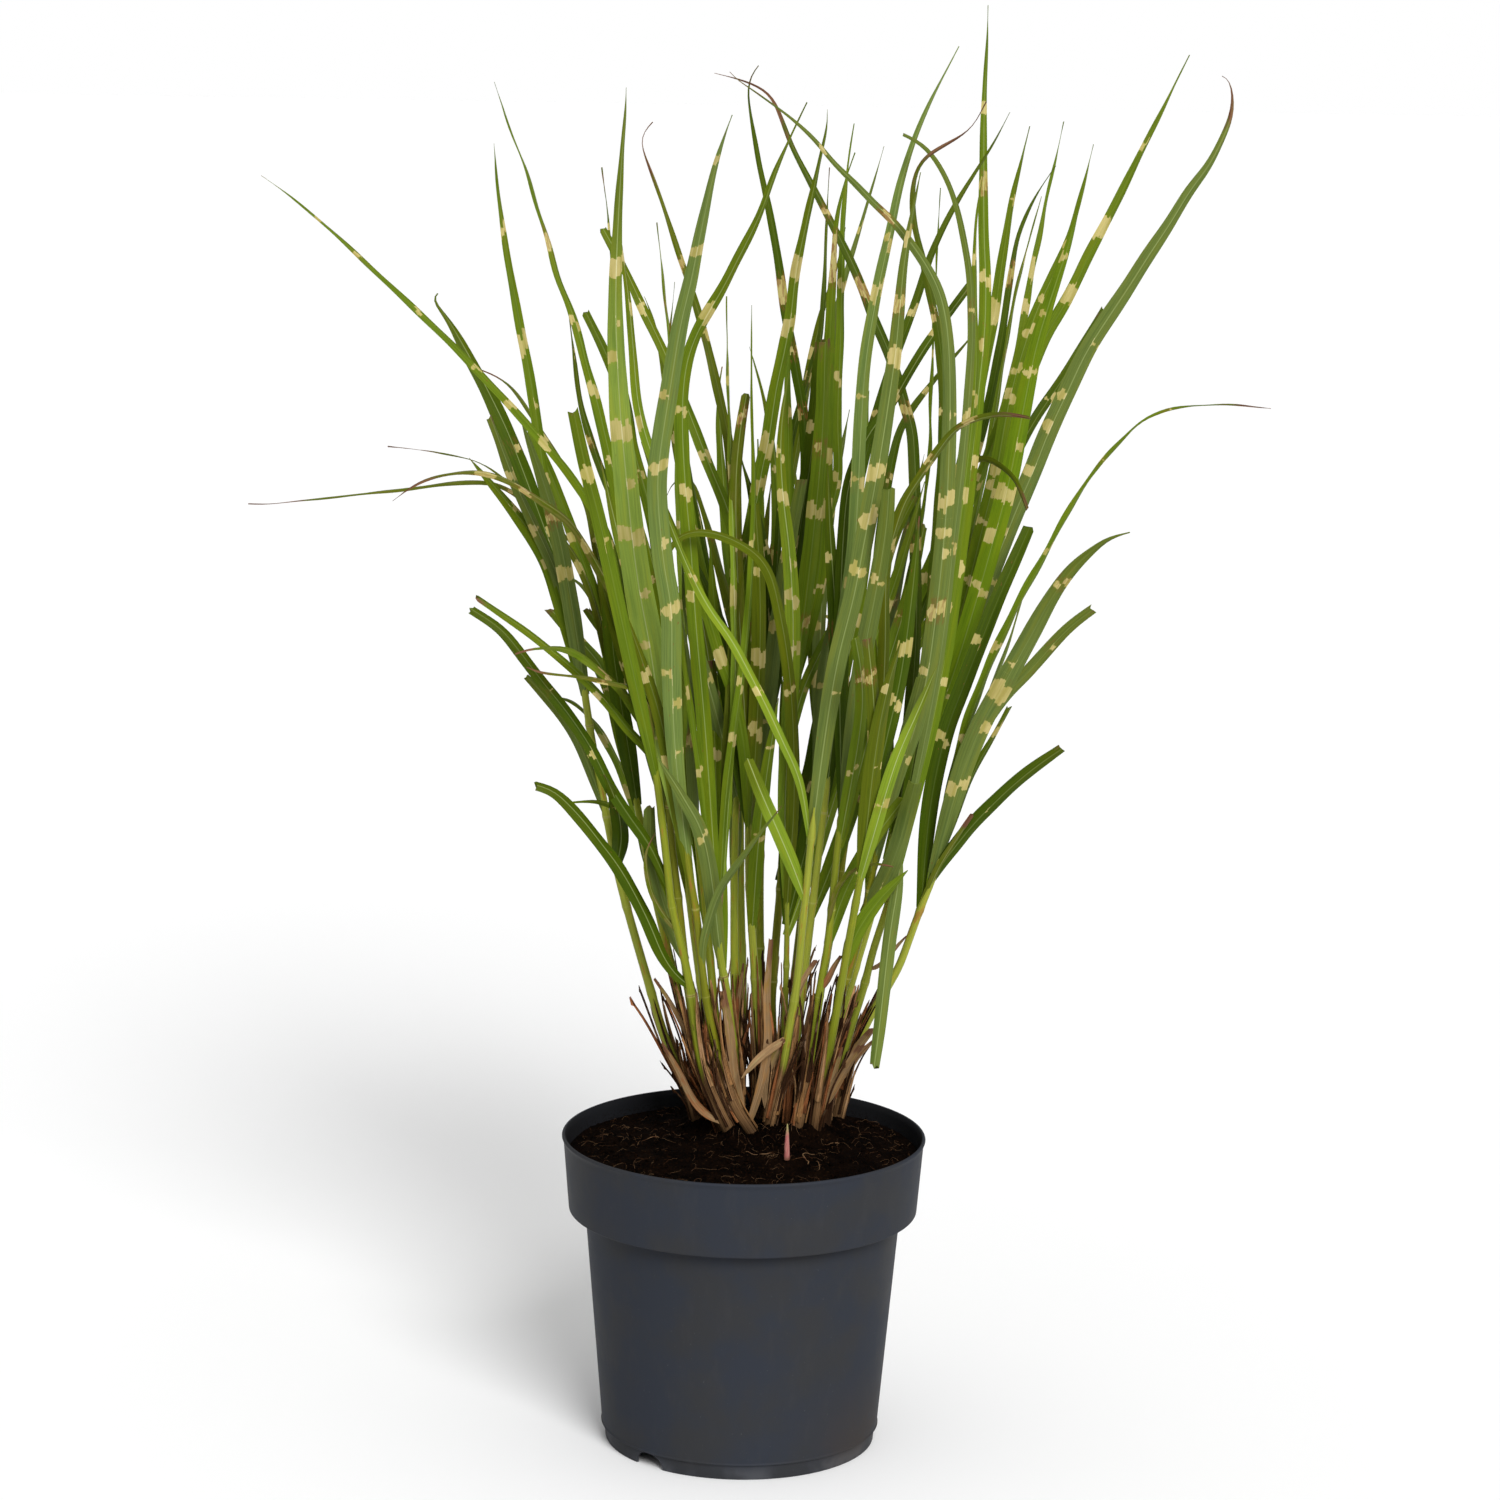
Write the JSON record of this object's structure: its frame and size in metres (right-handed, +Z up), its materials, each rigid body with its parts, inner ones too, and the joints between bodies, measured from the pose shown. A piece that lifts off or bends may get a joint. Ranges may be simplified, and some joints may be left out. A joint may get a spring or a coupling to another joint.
{
  "type": "potted miscanthus grass clump",
  "caption": "Upright clump of cream-banded zebra grass growing from dark soil in a round grey nursery pot with a deep rim collar; stands on its foot ring as a patio or garden plant.",
  "frame": {"origin": "On the ground under the pot's axis, at the centre of the bounding box seen from above", "axes": "+Z up along the pot's axis and the height of the clump, +X to the right and -Y towards the viewer of the picture"},
  "size_m": [0.622, 0.5656, 0.883],
  "materials": {
    "pot": "dark grey injection-moulded plastic, satin, with faint scuffs and dust",
    "soil": "moist near-black peat with fibres",
    "grass": "green grass blades with pale midribs and cream bands, dry brown sheaths at the base",
    "young_shoot": "pink closed spear"
  },
  "bodies": {
    "root": {"pot": "pot", "soil": "soil", "shoot_01": "grass", "shoot_02": "grass", "shoot_03": "grass", "shoot_04": "grass", "shoot_05": "grass", "shoot_06": "grass", "shoot_07": "grass", "shoot_08": "grass", "shoot_09": "grass", "shoot_10": "grass", "shoot_11": "grass", "shoot_12": "grass", "shoot_13": "grass", "shoot_14": "grass", "shoot_15": "grass", "shoot_16": "grass", "shoot_17": "grass", "shoot_18": "grass", "shoot_19": "grass", "shoot_20": "grass", "shoot_21": "grass", "shoot_22": "grass", "shoot_23": "grass", "shoot_24": "grass", "new_shoot": "young_shoot"}
  },
  "joints": []
}
